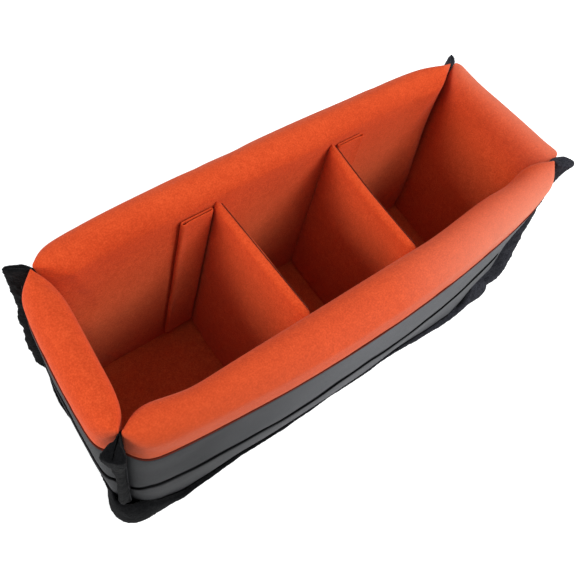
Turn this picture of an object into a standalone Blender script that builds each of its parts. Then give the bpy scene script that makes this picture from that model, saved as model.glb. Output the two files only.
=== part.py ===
"""Padded camera insert for a shoulder bag: four padded walls, a padded floor and two movable dividers.

Metres, +Z up, +X along the long walls, origin at the centre of the underside. The front wall faces -Y.
Every wall is a foam pad between a looped lining, which wraps over the rim, and a coated outer shell.
The walls swell from their corner seams, so each one is lofted along its length from one section.
"""

import math
from dataclasses import dataclass

import bmesh
import bpy

# Overall sizes
SEAM_LENGTH = 0.320
SEAM_WIDTH = 0.098
FOOT_SEAM_LENGTH = 0.312
FOOT_SEAM_WIDTH = 0.0986
HEIGHT = 0.152

# Fabrics and the clearance left between pieces that touch
FIT_GAP = 0.0003
FOAM_GAP = 0.0006
LINING_CLOTH = 0.0012
SHELL_CLOTH = 0.0009
BASE_CLOTH = 0.0016
EAR_CLOTH = 0.0014
HOOK_TAPE = 0.0012

# Padded walls, measured over their fabric
LONG_FOOT_THICKNESS = 0.0215
LONG_RIM_THICKNESS = 0.023
END_FOOT_THICKNESS = 0.014
END_RIM_THICKNESS = 0.021
FRONT_BOW = 0.0105
FRONT_FOOT_SWELL = 0.0040
FRONT_SWELL = 0.0144
FRONT_RIM_SWELL = 0.0127
BACK_BOW = 0.0055
BACK_SWELL = 0.0050
BACK_RIM_SWELL = 0.0055
END_BOW = 0.0020
END_FOOT_HOLLOW = 0.0015
END_SWELL = 0.0032
END_RIM_SWELL = 0.0020
FLAT_FACE_SHARE = 0.72
END_ROUND_SHARE = 0.65
SEAM_CLEARANCE = 0.0030
RIM_RISE = 0.0115
RIM_DROP = 0.0015
RIM_DROP_RUN = 0.012
LINING_WRAP = 0.030
TUCK_HEIGHT = 0.066
LONG_STATIONS = 23
END_STATIONS = 15
FACE_LEVEL_SHARES = (0.0, 0.35, 0.7, 1.0)
RIM_ANGLES = (25, 50, 75)

# The left end stands askew: its corners are shifted along the insert by these lengths
SKEW_START = 0.095
SKEW_END = 0.150
SKEW_RIM_SHIFT = 0.0022
SKEW_RIM_TURN = 0.0043
SKEW_FOOT_TURN = 0.0035

# Floor pad
STIFFENER = 0.0015
FLOOR_FOAM = 0.0040
FLOOR_CORNER = 0.008
FLOOR_CORNER_STEPS = 5
FLOOR_EDGE = 0.0006

# Base cover, a shallow fabric pan with full corners
PAN_MID_HEIGHT = 0.0075
PAN_CORNER_HEIGHT = 0.028
PAN_ROUND = 0.0025
PAN_CORNER_RUN = 0.014
PAN_CORNER_FALL = 0.014
PAN_CORNER_PULL = 0.010
PAN_STRAIGHT_SHARE = 0.85
PAN_CORNER_SHARES = (0.12, 0.25, 0.38, 0.5, 0.62, 0.75, 0.88)

# Corner ears, folded gussets that stand out from the corner seams
EAR_REACH = 0.0145
EAR_HALF_WIDTH = 0.0055
EAR_FOOT = 0.010
EAR_TOP_DROP = 0.0015
EAR_DROOP = 0.006
EAR_LEAN = 0.0038
EAR_POCKET = 0.034
EAR_ROOT_DEPTH = 0.0028
EAR_SHOULDER = 0.0016
EAR_NOTCH_SHARE = 0.9
EAR_POCKET_SHARES = ((0.0, 0.45), (0.5, 0.8), (1.0, 1.0))
EAR_OUTLINE_SHARES = ((0.36, 1.0), (0.72, 0.86), (0.92, 0.5))

# How far up an ear, how far out and how wide it is there
DROOPING_EAR_SHARES = (
    (0.0, 0.20, 0.40),
    (0.09, 0.42, 0.50),
    (0.18, 0.70, 0.62),
    (0.40, 0.76, 0.62),
    (0.62, 0.78, 0.70),
    (0.84, 0.90, 0.90),
    (1.0, 1.03, 1.12),
)
EVEN_EAR_SHARES = (
    (0.0, 0.20, 0.40),
    (0.09, 0.36, 0.50),
    (0.18, 0.86, 0.62),
    (0.36, 0.96, 0.66),
    (0.58, 0.92, 0.66),
    (0.80, 0.92, 0.76),
    (1.0, 1.0, 0.90),
)
FLARED_EAR_SHARES = (
    (0.0, 0.20, 0.50),
    (0.13, 0.78, 0.55),
    (0.19, 1.32, 0.85),
    (0.36, 1.20, 0.84),
    (0.64, 0.86, 0.66),
    (0.85, 0.57, 0.66),
    (1.0, 0.85, 0.90),
)

# Dividers
DIVIDER_TOP = 0.139
DIVIDER_THICKNESS = 0.0090
DIVIDER_CROWN = 0.0012
DIVIDER_END_ROUND = 0.0025
DIVIDER_END_SHARE = 0.55
DIVIDER_RIM_ANGLES = (0, 35, 65)
DIVIDER_SHARES = (-0.96, -0.7, -0.35, 0.0, 0.35, 0.7, 0.96)
DIVIDER_LEVEL_SHARES = (0.0, 0.3, 0.6, 0.85)
LEFT_DIVIDER_X = -0.0430
LEFT_DIVIDER_LEAN = 0.010
RIGHT_DIVIDER_X = 0.0460
RIGHT_DIVIDER_LEAN = 0.005

# Hook tabs, folded from the dividers' ends onto the long walls
TAB_WIDTH = 0.0210
TAB_THICKNESS = 0.0026
TAB_BEAD = 0.0020
TAB_SIDE_CLEARANCE = 0.0005
TAB_FOOT = 0.0060
TAB_HEAD = 0.0015
HOOK_EDGE = 0.0030
HOOK_END = 0.0060
FRONT_TAB_DROP = 0.0195

# Worked out from the sizes above
SKIN_DEPTH = LINING_CLOTH + FOAM_GAP
WALL_FOOT = BASE_CLOTH + FIT_GAP
STIFFENER_TOP = WALL_FOOT + STIFFENER
FLOOR_FOAM_TOP = STIFFENER_TOP + FIT_GAP + FLOOR_FOAM
FLOOR_TOP = FLOOR_FOAM_TOP + FIT_GAP + LINING_CLOTH
LINING_EDGE = HEIGHT - LINING_WRAP
DIVIDER_FOOT = FLOOR_TOP + FIT_GAP
TAB_HALF = TAB_THICKNESS / 2
TAB_STANDOFF = FIT_GAP + HOOK_TAPE + FIT_GAP + TAB_HALF


@dataclass
class Wall:
    """One padded wall. Its seams run at reach and seat from the centre, along and across the wall."""

    name: str
    along: tuple
    foot_reach: float
    rim_reach: float
    foot_seat: float
    rim_seat: float
    foot_half: float
    rim_half: float
    bow: float
    swell: tuple
    stations: int

    @property
    def outward(self):
        return (self.along[1], -self.along[0])


def long_wall(name, heading, bow, swell):
    return Wall(
        name,
        (heading, 0),
        FOOT_SEAM_LENGTH / 2,
        SEAM_LENGTH / 2,
        FOOT_SEAM_WIDTH / 2,
        SEAM_WIDTH / 2,
        LONG_FOOT_THICKNESS / 2,
        LONG_RIM_THICKNESS / 2,
        bow,
        swell,
        LONG_STATIONS,
    )


def end_wall(name, heading):
    return Wall(
        name,
        (0, heading),
        FOOT_SEAM_WIDTH / 2,
        SEAM_WIDTH / 2,
        FOOT_SEAM_LENGTH / 2,
        SEAM_LENGTH / 2,
        END_FOOT_THICKNESS / 2,
        END_RIM_THICKNESS / 2,
        END_BOW,
        (-END_FOOT_HOLLOW, END_SWELL, END_RIM_SWELL),
        END_STATIONS,
    )


FRONT = long_wall("front", 1, FRONT_BOW, (FRONT_FOOT_SWELL, FRONT_SWELL, FRONT_RIM_SWELL))
RIGHT = end_wall("right", 1)
BACK = long_wall("back", -1, BACK_BOW, (0, BACK_SWELL, BACK_RIM_SWELL))
LEFT = end_wall("left", -1)
WALLS = (FRONT, RIGHT, BACK, LEFT)


@dataclass
class Corner:
    """One corner: its ear's drop, droop and lean, and how far its boot is pulled along and across."""

    name: str
    x: int
    y: int
    drop_share: float
    droop_share: float
    lean_share: float
    ear_shares: tuple
    pull_shares: tuple


CORNERS = (
    Corner("front_right", 1, -1, 1.0, 0.15, 0, FLARED_EAR_SHARES, (1.6, 0.3)),
    Corner("back_right", 1, 1, 1.0, 0.15, 0, EVEN_EAR_SHARES, (0.7, 0.7)),
    Corner("back_left", -1, 1, 1.0, 0.15, 1.0, EVEN_EAR_SHARES, (1.0, 0.6)),
    Corner("front_left", -1, -1, 4.0, 1.0, 0, DROOPING_EAR_SHARES, (1.0, -0.4)),
)


def mix(low, high, share):
    return low + (high - low) * share


def material(name, colour, roughness, metallic=0.0):
    made = bpy.data.materials.new(name)
    made.use_nodes = True
    shader = made.node_tree.nodes["Principled BSDF"]
    shader.inputs["Base Color"].default_value = (*colour, 1.0)
    shader.inputs["Roughness"].default_value = roughness
    shader.inputs["Metallic"].default_value = metallic
    return made


def new_object(name, mesh_faces, finish, parent=None):
    """Makes one closed object from a bmesh, with its faces pointing out."""
    bmesh.ops.recalc_face_normals(mesh_faces, faces=mesh_faces.faces)
    mesh = bpy.data.meshes.new(name)
    mesh_faces.to_mesh(mesh)
    mesh_faces.free()
    mesh.shade_smooth()
    mesh.set_sharp_from_angle(angle=math.radians(40))
    mesh.materials.append(finish)
    made = bpy.data.objects.new(name, mesh)
    bpy.context.scene.collection.objects.link(made)
    if parent:
        made.parent = parent
        made.location = -parent.location
    return made


def skewed(point):
    """Shifts a point of the left end along the insert, more at the back and less at the front."""
    x, y, height = point
    share = min(max((-x - SKEW_START) / (SKEW_END - SKEW_START), 0), 1)
    up = height / HEIGHT
    turn = mix(SKEW_FOOT_TURN, SKEW_RIM_TURN, up) * y / (SEAM_WIDTH / 2)
    return (x + share * share * (3 - 2 * share) * (SKEW_RIM_SHIFT * up + turn), y, height)


def loft(rings):
    """Joins rings of equal count into a tube, open at both ends."""
    shape = bmesh.new()
    grid = [[shape.verts.new(skewed(point)) for point in ring] for ring in rings]
    count = len(grid[0])
    for low, high in zip(grid, grid[1:]):
        for step in range(count):
            after = (step + 1) % count
            shape.faces.new((low[step], low[after], high[after], high[step]))
    return shape, grid


def capped_loft(rings):
    """A tube closed at each end with a flat fan of triangles."""
    shape, grid = loft(rings)
    caps = [shape.faces.new(grid[0]), shape.faces.new(grid[-1])]
    bmesh.ops.poke(shape, faces=caps)
    return shape


def strip_loft(sections):
    """A tube whose ring is a strip between two paths of equal count, closed at the ends by rungs."""
    shape, grid = loft([first + second[::-1] for first, second in sections])
    for ring in (grid[0], grid[-1]):
        last = len(ring) - 1
        for step in range(len(ring) // 2 - 1):
            shape.faces.new((ring[step], ring[step + 1], ring[last - step - 1], ring[last - step]))
    return shape


def flat_bow(along_share):
    """Full over the middle, where the dividers travel, then easing to nothing at the seam."""
    beyond = max(abs(along_share) - FLAT_FACE_SHARE, 0) / (1 - FLAT_FACE_SHARE)
    return (1 + math.cos(math.pi * beyond)) / 2


def swell_at(wall, up):
    """How far the outer face swells in its middle: a quarter wave up to half height, then straight."""
    foot, middle, rim = wall.swell
    if up < 1 / 2:
        return mix(foot, middle, math.sin(math.pi * up))
    return mix(middle, rim, 2 * up - 1)


def faces_at(wall, along_share, level):
    """The pad's inner and outer faces, measured outward from the plane of its seams."""
    up = level / HEIGHT
    half = mix(wall.foot_half, wall.rim_half, up)
    run = mix(wall.foot_reach, wall.rim_reach, up) * (1 - abs(along_share))
    inner = wall.bow * up * flat_bow(along_share) - half * math.tanh((run - FIT_GAP) / half)
    swell = swell_at(wall, up) * (1 - along_share**2)
    return inner, swell + half * math.tanh(run / (END_ROUND_SHARE * half))


def place(wall, along_share, level, offset, height):
    """A world point on a wall, at a share of its length and an offset from its seam plane."""
    up = level / HEIGHT
    run = along_share * mix(wall.foot_reach, wall.rim_reach, up)
    out = mix(wall.foot_seat, wall.rim_seat, up) + offset
    x = wall.along[0] * run + wall.outward[0] * out
    y = wall.along[1] * run + wall.outward[1] * out
    return (x, y, height)


def rim_centre(wall, along_share):
    """The height at which the faces turn into the rounded rim, which dips towards the seams."""
    run = wall.rim_reach * (1 - abs(along_share))
    return HEIGHT - RIM_RISE - RIM_DROP * (1 - math.tanh(run / RIM_DROP_RUN))


def face_point(wall, along_share, level, outside, depth):
    inner, outer = faces_at(wall, along_share, level)
    offset = outer - depth if outside else inner + depth
    return place(wall, along_share, level, offset, level)


def rim_point(wall, along_share, angle, depth):
    level = rim_centre(wall, along_share)
    inner, outer = faces_at(wall, along_share, level)
    middle = (inner + outer) / 2
    half = (outer - inner) / 2 - depth
    turn = math.radians(angle)
    height = level + (RIM_RISE - depth) * math.sin(turn)
    return place(wall, along_share, level, middle - half * math.cos(turn), height)


def side_path(wall, along_share, low, outside, depth):
    """From the foot of a pad up one face and part of the way over its rim."""
    top = rim_centre(wall, along_share)
    path = [
        face_point(wall, along_share, mix(low, top, share), outside, depth) for share in FACE_LEVEL_SHARES
    ]
    for angle in RIM_ANGLES:
        path.append(rim_point(wall, along_share, 180 - angle if outside else angle, depth))
    return path


def band_path(wall, along_share, low, high, depth):
    """Up the outer face between two heights."""
    return [
        face_point(wall, along_share, mix(low, high, share), True, depth) for share in FACE_LEVEL_SHARES
    ]


def lining_path(wall, along_share, depth):
    """Up the inner face, over the rim and down the outside to the lining's edge."""
    inside = side_path(wall, along_share, WALL_FOOT, False, depth)
    outside = side_path(wall, along_share, LINING_EDGE, True, depth)
    return inside + [rim_point(wall, along_share, 90, depth)] + outside[::-1]


def wall_stations(wall):
    """Shares along a wall, closer together towards its seams."""
    reach = 1 - SEAM_CLEARANCE / wall.rim_reach
    last = wall.stations - 1
    return [reach * math.sin(math.pi / 2 * (2 * step / last - 1)) for step in range(wall.stations)]


def build_wall(wall, finishes):
    stations = wall_stations(wall)
    pad = [
        (
            side_path(wall, share, WALL_FOOT, False, SKIN_DEPTH),
            side_path(wall, share, WALL_FOOT, True, SKIN_DEPTH),
        )
        for share in stations
    ]
    new_object(wall.name + "_wall_foam", strip_loft(pad), finishes["foam"])
    lining = [(lining_path(wall, share, 0), lining_path(wall, share, LINING_CLOTH)) for share in stations]
    new_object(wall.name + "_wall_lining", strip_loft(lining), finishes["lining"])
    bands = (
        ("_wall_upper_shell", TUCK_HEIGHT + FIT_GAP, LINING_EDGE - FIT_GAP),
        ("_wall_lower_shell", WALL_FOOT, TUCK_HEIGHT),
    )
    for suffix, low, high in bands:
        shell = [
            (band_path(wall, share, low, high, 0), band_path(wall, share, low, high, SHELL_CLOTH))
            for share in stations
        ]
        new_object(wall.name + suffix, strip_loft(shell), finishes["shell"])


def rounded_slab(name, half_x, half_y, low, high, finish):
    """A flat sheet with round corners and a slightly softened upper edge."""
    rings = []
    for height, inset in ((low, 0), (high - FLOOR_EDGE, 0), (high, FLOOR_EDGE)):
        ring = []
        for quarter in range(4):
            side_x = (1, -1, -1, 1)[quarter]
            side_y = (1, 1, -1, -1)[quarter]
            for step in range(FLOOR_CORNER_STEPS + 1):
                turn = math.radians(90 * (quarter + step / FLOOR_CORNER_STEPS))
                radius = FLOOR_CORNER - inset
                x = side_x * (half_x - FLOOR_CORNER) + radius * math.cos(turn)
                y = side_y * (half_y - FLOOR_CORNER) + radius * math.sin(turn)
                ring.append((x, y, height))
        rings.append(ring)
    new_object(name, capped_loft(rings), finish)


def build_floor(finishes):
    """Stiffener, foam and lining, stacked between the feet of the walls."""
    half_x = RIGHT.foot_seat + faces_at(RIGHT, 0, 0)[0] - FIT_GAP
    half_y = BACK.foot_seat + faces_at(BACK, 0, 0)[0] - FIT_GAP
    rounded_slab("floor_stiffener", half_x, half_y, WALL_FOOT, STIFFENER_TOP, finishes["board"])
    low = STIFFENER_TOP + FIT_GAP
    rounded_slab("floor_foam", half_x, half_y, low, FLOOR_FOAM_TOP, finishes["foam"])
    low = FLOOR_FOAM_TOP + FIT_GAP
    rounded_slab("floor_lining", half_x, half_y, low, FLOOR_TOP, finishes["lining"])


def pan_ring(level_share, inset, height=None):
    """One closed line around the feet of the walls, outside them by the cover's cloth less an inset."""
    sides = []
    for wall in WALLS:
        widest = 1 - PAN_CORNER_RUN / wall.foot_reach
        shares = [share for share in wall_stations(wall) if abs(share) <= widest]
        points = []
        for share in shares:
            fall = (shares[-1] - abs(share)) * wall.foot_reach / PAN_CORNER_FALL
            edge = mix(PAN_MID_HEIGHT, PAN_CORNER_HEIGHT, math.exp(-fall * fall))
            level = edge * level_share if height is None else height
            outer = faces_at(wall, share, level)[1]
            outer = mix(outer, max(outer, faces_at(wall, 0, level)[1]), PAN_STRAIGHT_SHARE)
            points.append(place(wall, share, level, outer + FIT_GAP + BASE_CLOTH - inset, level))
        sides.append(points)
    ring = []
    for index, corner in enumerate(CORNERS):
        after = sides[(index + 1) % len(WALLS)]
        ring.extend(sides[index])
        ring.extend(pan_corner(sides[index][-1], after[0], corner))
    return ring


def pan_corner(start, end, corner):
    """A full round corner: a curve pulled out past the meeting point of the two sides."""
    along, across = corner.pull_shares
    pull_x = corner.x * (max(start[0] * corner.x, end[0] * corner.x) + PAN_CORNER_PULL * along)
    pull_y = corner.y * (max(start[1] * corner.y, end[1] * corner.y) + PAN_CORNER_PULL * across)
    points = []
    for share in PAN_CORNER_SHARES:
        rest = 1 - share
        x = rest * rest * start[0] + 2 * share * rest * pull_x + share * share * end[0]
        y = rest * rest * start[1] + 2 * share * rest * pull_y + share * share * end[1]
        points.append((x, y, mix(start[2], end[2], share)))
    return points


def build_base_cover(finishes):
    """The pan: inner floor, up inside, over the edge, down outside and under."""
    rings = [
        pan_ring(0, BASE_CLOTH, BASE_CLOTH),
        pan_ring(0.5, BASE_CLOTH),
        pan_ring(1.0, BASE_CLOTH),
        pan_ring(1.0, 0),
        pan_ring(0.5, 0),
        pan_ring(0, 0, PAN_ROUND),
        pan_ring(0, PAN_ROUND * (1 - math.sin(math.pi / 4)), PAN_ROUND * (1 - math.cos(math.pi / 4))),
        pan_ring(0, PAN_ROUND, 0),
    ]
    new_object("base_cover", capped_loft(rings), finishes["base"])


def ear_point(corner, out, across, height):
    """A point beside a corner seam: out along the diagonal, across at right angles to it."""
    up = height / HEIGHT
    seam_x = corner.x * mix(FOOT_SEAM_LENGTH, SEAM_LENGTH, up) / 2
    seam_y = corner.y * mix(FOOT_SEAM_WIDTH, SEAM_WIDTH, up) / 2
    lean = EAR_LEAN * corner.lean_share * (max(out, 0) / EAR_REACH) ** 2
    diagonal = math.sqrt(1 / 2)
    x = seam_x + diagonal * corner.x * (out + lean - across * corner.y * corner.x)
    y = seam_y + diagonal * corner.y * (out - lean + across * corner.y * corner.x)
    return (x, y, height)


def ear_ring(corner, profile, cloth):
    """The folded cloth seen from above: a root in the seam, a belly and a round fold."""
    up_share, reach_share, width_share = profile
    reach = EAR_REACH * reach_share
    half = EAR_HALF_WIDTH * width_share
    notch = (EAR_SHOULDER + SEAM_CLEARANCE * math.sqrt(2)) * EAR_NOTCH_SHARE
    side = [(-EAR_ROOT_DEPTH, FIT_GAP), (EAR_SHOULDER, min(notch, half))]
    if cloth:
        side = [(0, FIT_GAP), (EAR_SHOULDER, (half - cloth) / 2)]
    span = reach - cloth - EAR_SHOULDER
    for out_share, across_share in EAR_OUTLINE_SHARES:
        side.append((EAR_SHOULDER + span * out_share, (half - cloth) * across_share))
    outline = side + [(reach - cloth, 0)] + [(out, -across) for out, across in side[::-1]]
    base = mix(EAR_FOOT, HEIGHT - EAR_TOP_DROP * corner.drop_share, up_share)
    ring = []
    for out, across in outline:
        droop = EAR_DROOP * corner.droop_share * max(out, 0) / EAR_REACH * up_share**4
        ring.append(ear_point(corner, out, across, base - droop))
    return ring


def build_ear(corner, finishes):
    """A folded gusset with a pocket open at the top, tucked into the base cover at its foot."""
    top = HEIGHT - EAR_TOP_DROP * corner.drop_share
    pocket_share = 1 - EAR_POCKET / (top - EAR_FOOT)
    pocket = []
    for up_share, size_share in EAR_POCKET_SHARES:
        up_share = mix(pocket_share, 1, up_share)
        reach_share, width_share = profile_at(corner.ear_shares, up_share)
        profile = (up_share, reach_share * mix(0.6, 1, size_share), width_share * size_share)
        pocket.append(ear_ring(corner, profile, EAR_CLOTH))
    outside = [ear_ring(corner, profile, 0) for profile in corner.ear_shares[::-1]]
    new_object(corner.name + "_ear", capped_loft(pocket + outside), finishes["base"])


def profile_at(shares, up_share):
    """The reach and width of an ear between two rows of its table."""
    for low, high in zip(shares, shares[1:]):
        if up_share <= high[0]:
            share = (up_share - low[0]) / (high[0] - low[0])
            return mix(low[1], high[1], share), mix(low[2], high[2], share)
    return shares[-1][1:]


def divider_x(top_x, lean, height):
    """The middle of a divider at a height: its foot stands further left than its top."""
    return top_x - lean * (DIVIDER_TOP - height) / (DIVIDER_TOP - FLOOR_TOP)


def wall_face_y(wall, height):
    """The flat inner face that a divider's end meets."""
    inner = faces_at(wall, 0, height)[0]
    return wall.outward[1] * (mix(wall.foot_seat, wall.rim_seat, height / HEIGHT) + inner)


def divider_ring(top_x, lean, height, inset, depth):
    """A thin rounded rectangle between the long walls, fuller in the middle."""
    front = wall_face_y(FRONT, height) + FIT_GAP + depth + inset / 2
    back = wall_face_y(BACK, height) - FIT_GAP - depth - inset / 2
    up = (height - DIVIDER_FOOT) / (DIVIDER_TOP - DIVIDER_FOOT)
    middle = divider_x(top_x, lean, height)
    flat = DIVIDER_THICKNESS / 2 - DIVIDER_CROWN - depth - inset

    def half_at(share):
        return flat + DIVIDER_CROWN * (1 - share * share) * math.sin(math.pi * min(max(up, 0), 1))

    side = [(half_at(share), mix(front, back, (share + 1) / 2)) for share in DIVIDER_SHARES]
    side = [(side[0][0], front + DIVIDER_END_ROUND)] + side[1:-1] + [(side[-1][0], back - DIVIDER_END_ROUND)]
    end = flat * DIVIDER_END_SHARE
    right = [(end, front)] + side + [(end, back)]
    ring = [(middle + across, y, height) for across, y in right]
    return ring + [(middle - across, y, height) for across, y in right[::-1]]


def divider_rings(top_x, lean, depth):
    """From the foot to the rounded top of a divider's skin, at a depth below it."""
    top = DIVIDER_TOP - depth
    radius = DIVIDER_THICKNESS / 2 - DIVIDER_CROWN - depth
    rings = []
    for share in DIVIDER_LEVEL_SHARES:
        rings.append(divider_ring(top_x, lean, mix(DIVIDER_FOOT, top - radius, share), 0, depth))
    for angle in DIVIDER_RIM_ANGLES:
        turn = math.radians(angle)
        height = top - radius * (1 - math.sin(turn))
        rings.append(divider_ring(top_x, lean, height, radius * (1 - math.cos(turn)), depth))
    return rings


def tab_axis(wall, top_x, lean, side, height):
    """The crease that a tab folds about, beside the divider's end and in the tab's mid thickness."""
    edge = DIVIDER_THICKNESS / 2 - DIVIDER_CROWN
    x = divider_x(top_x, lean, height) + side * (edge + TAB_SIDE_CLEARANCE + TAB_HALF)
    y = wall_face_y(wall, height) - wall.outward[1] * TAB_STANDOFF
    return x, y


def tab_outline():
    """Along the tab and out from the wall: a round crease, a flat run and a bead at the free edge."""
    outline = []
    for step in range(7):
        turn = math.radians(90 + 30 * step)
        outline.append((TAB_HALF * math.cos(turn), TAB_HALF * math.sin(turn)))
    lift = TAB_BEAD - TAB_HALF
    for step in range(9):
        turn = math.radians(-90 + 30 * step)
        outline.append((TAB_WIDTH - TAB_BEAD + TAB_BEAD * math.cos(turn), lift + TAB_BEAD * math.sin(turn)))
    return outline


def hook_outline():
    near = TAB_HALF + HOOK_EDGE
    far = TAB_WIDTH - 2 * TAB_BEAD
    front = -TAB_HALF - FIT_GAP
    return [(near, front), (far, front), (far, front - HOOK_TAPE), (near, front - HOOK_TAPE)]


def build_on_axis(name, outline, wall, divider, low, high, finish, parent):
    """Sweeps an outline, given beside the crease, up the crease between two heights."""
    top_x, lean, side = divider
    rings = []
    for height in (low, high):
        x, y = tab_axis(wall, top_x, lean, side, height)
        rings.append([(x + side * run, y - wall.outward[1] * off, height) for run, off in outline])
    new_object(name, capped_loft(rings), finish, parent)


def empty_at(name, location):
    made = bpy.data.objects.new(name, None)
    made.location = location
    bpy.context.scene.collection.objects.link(made)
    return made


def build_divider(name, top_x, lean, side, finishes):
    """A padded panel in a fabric sleeve, with a hook tab folded back at each end."""
    runner = empty_at(name + "_runner", (top_x, 0, DIVIDER_FOOT))
    outside = divider_rings(top_x, lean, 0)
    cavity = divider_rings(top_x, lean, LINING_CLOTH)
    new_object(name + "_cover", capped_loft(cavity[::-1] + outside), finishes["lining"], runner)
    core = divider_rings(top_x, lean, SKIN_DEPTH)
    new_object(name + "_foam", capped_loft(core), finishes["foam"], runner)
    low = FLOOR_TOP + TAB_FOOT
    for end, wall, drop in (("back", BACK, 0), ("front", FRONT, FRONT_TAB_DROP)):
        high = DIVIDER_TOP - TAB_HEAD - drop
        x, y = tab_axis(wall, top_x, lean, side, low)
        crease = empty_at(name + "_" + end + "_crease", (x, y, low))
        divider = (top_x, lean, side)
        tab = name + "_" + end + "_tab"
        build_on_axis(tab, tab_outline(), wall, divider, low, high, finishes["lining"], crease)
        hook = name + "_" + end + "_hook"
        ends = (low + HOOK_END, high - HOOK_END)
        build_on_axis(hook, hook_outline(), wall, divider, *ends, finishes["hook"], crease)


def clear_scene():
    for thing in list(bpy.data.objects):
        bpy.data.objects.remove(thing, do_unlink=True)


def main():
    clear_scene()
    finishes = {
        "lining": material("orange_loop_lining", (0.730, 0.082, 0.019), 0.92),
        "shell": material("grey_coated_nylon", (0.050, 0.052, 0.056), 0.45),
        "base": material("black_brushed_cloth", (0.010, 0.010, 0.011), 0.95),
        "foam": material("closed_cell_foam", (0.180, 0.180, 0.190), 0.85),
        "board": material("plastic_board", (0.045, 0.045, 0.048), 0.50),
        "hook": material("hook_tape", (0.520, 0.060, 0.016), 0.70),
    }
    for wall in WALLS:
        build_wall(wall, finishes)
    build_floor(finishes)
    build_base_cover(finishes)
    for corner in CORNERS:
        build_ear(corner, finishes)
    build_divider("left_divider", LEFT_DIVIDER_X, LEFT_DIVIDER_LEAN, -1, finishes)
    build_divider("right_divider", RIGHT_DIVIDER_X, RIGHT_DIVIDER_LEAN, 1, finishes)


main()
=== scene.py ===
"""Looks of the padded camera insert: cloth, pile, seams and light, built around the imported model.

Metres, +Z up, +X along the long walls. The front wall faces -Y. The visible pieces repeat the
solids' own sizes, so each one fills the space of the solids that it stands for.
"""

import math

import bmesh
import bpy
import numpy as np
from mathutils import Matrix, Vector, noise


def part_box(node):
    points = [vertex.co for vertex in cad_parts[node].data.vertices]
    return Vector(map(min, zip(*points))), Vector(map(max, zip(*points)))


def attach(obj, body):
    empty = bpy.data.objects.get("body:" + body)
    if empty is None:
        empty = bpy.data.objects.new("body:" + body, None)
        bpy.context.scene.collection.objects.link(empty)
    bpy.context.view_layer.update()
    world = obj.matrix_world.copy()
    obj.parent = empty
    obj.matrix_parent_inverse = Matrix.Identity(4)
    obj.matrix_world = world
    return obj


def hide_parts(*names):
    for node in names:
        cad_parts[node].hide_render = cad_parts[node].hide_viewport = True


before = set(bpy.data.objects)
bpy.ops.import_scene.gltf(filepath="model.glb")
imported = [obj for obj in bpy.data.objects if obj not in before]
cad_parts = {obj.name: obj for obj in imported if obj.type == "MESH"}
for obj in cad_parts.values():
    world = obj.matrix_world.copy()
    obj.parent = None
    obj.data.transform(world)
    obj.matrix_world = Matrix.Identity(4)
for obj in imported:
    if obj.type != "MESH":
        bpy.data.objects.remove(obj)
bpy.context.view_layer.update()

# Sizes of the insert
SEAM_LENGTH = 0.320
SEAM_WIDTH = 0.098
FOOT_SEAM_LENGTH = 0.312
FOOT_SEAM_WIDTH = 0.0986
HEIGHT = 0.152
FLAT_FACE_SHARE = 0.72
RIM_RISE = 0.0115
RIM_DROP = 0.0015
RIM_DROP_RUN = 0.012
LINING_EDGE = 0.122
WALL_FOOT = 0.0019
FLOOR_TOP = 0.0092
FLOOR_SPREAD = 0.0012
FLOOR_CORNER_POWER = 0.07
FLOOR_STEPS = 96
FLOOR_EDGE = ((0.0070, 0), (0.0085, 0.0006), (0.0091, 0.0020), (0.0094, 0.008), (0.0095, 0.02))
FIT_GAP = 0.0003
SEAM_GAP = 0.0004
SHELL_CLOTH = 0.0009
SHELL_ROOM = 0.0016
PAD_CLEARANCE = 0.0004
BASE_CLOTH = 0.0016

# Skew of the left end
SKEW_START = 0.095
SKEW_END = 0.150
SKEW_RIM_SHIFT = 0.0022
SKEW_RIM_TURN = 0.0043
SKEW_FOOT_TURN = 0.0035

# Lean of the right end's rim
RIGHT_START = 0.110
RIGHT_END = 0.155
RIGHT_SHIFT = 0.0009
RIGHT_TURN = 0.0011
RIGHT_BACK = 0.0006
RIGHT_FOOT = 0.0036

# How far the soft foot strays outward, by place along the front wall and along the left wall
FRONT_FOOT_LINE = (
    (-0.165, -0.0010), (-0.155, -0.0022), (-0.145, -0.0036), (-0.135, -0.0032), (-0.125, -0.0010),
    (-0.105, -0.0010), (-0.085, -0.0020), (-0.055, -0.0005), (0.0, -0.0002), (0.025, 0.0010),
    (0.045, 0.0004), (0.075, 0.0022), (0.095, 0.0044), (0.120, 0.0058), (0.140, 0.0040), (0.160, 0.0022),
)
LEFT_FOOT_LINE = (
    (-0.057, -0.0017), (-0.046, -0.0007), (-0.040, -0.0014), (-0.034, -0.0026), (-0.022, -0.0014),
    (0.0, -0.0005), (0.020, 0.0), (0.033, 0.0006), (0.043, -0.0012), (0.057, -0.0018),
)

# Where each stray of the foot starts and where it is full
FRONT_FOOT_RUN = (0.030, 0.050)
LEFT_FOOT_RUN = (0.135, 0.155)
RIGHT_FOOT_RUN = (-0.010, 0.045)
FOOT_STRAY_POWER = 6

# Fuller rim beside the front wall's right end
RIM_FILL = 0.0036
RIM_FILL_LEVELS = (0.124, 0.141)
RIM_FILL_START_SHARES = (0.25, 0.75)
RIM_FILL_END_SHARES = (0.60, 1.0)

# Fuller foot inside the back wall's right end
BACK_FOOT_FILL = 0.0050
BACK_FOOT_LEVELS = (0.020, 0.125)
BACK_FOOT_SHARES = (0.78, 0.96)
BACK_FOOT_ROUND = 0.004
BACK_SWELL_POWER = 1.8

# Tuck in the shell
TUCK_HEIGHT = 0.066
TUCK_CLIMB = 0.010
TUCK_CLIMB_RUN = 0.045
TUCK_WAVE = 0.0012
TUCK_RIPPLE = 0.0006
TUCK_END_DROP = 0.016
TUCK_LIP = 0.0008
TUCK_DEPTH = 0.0016

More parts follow.
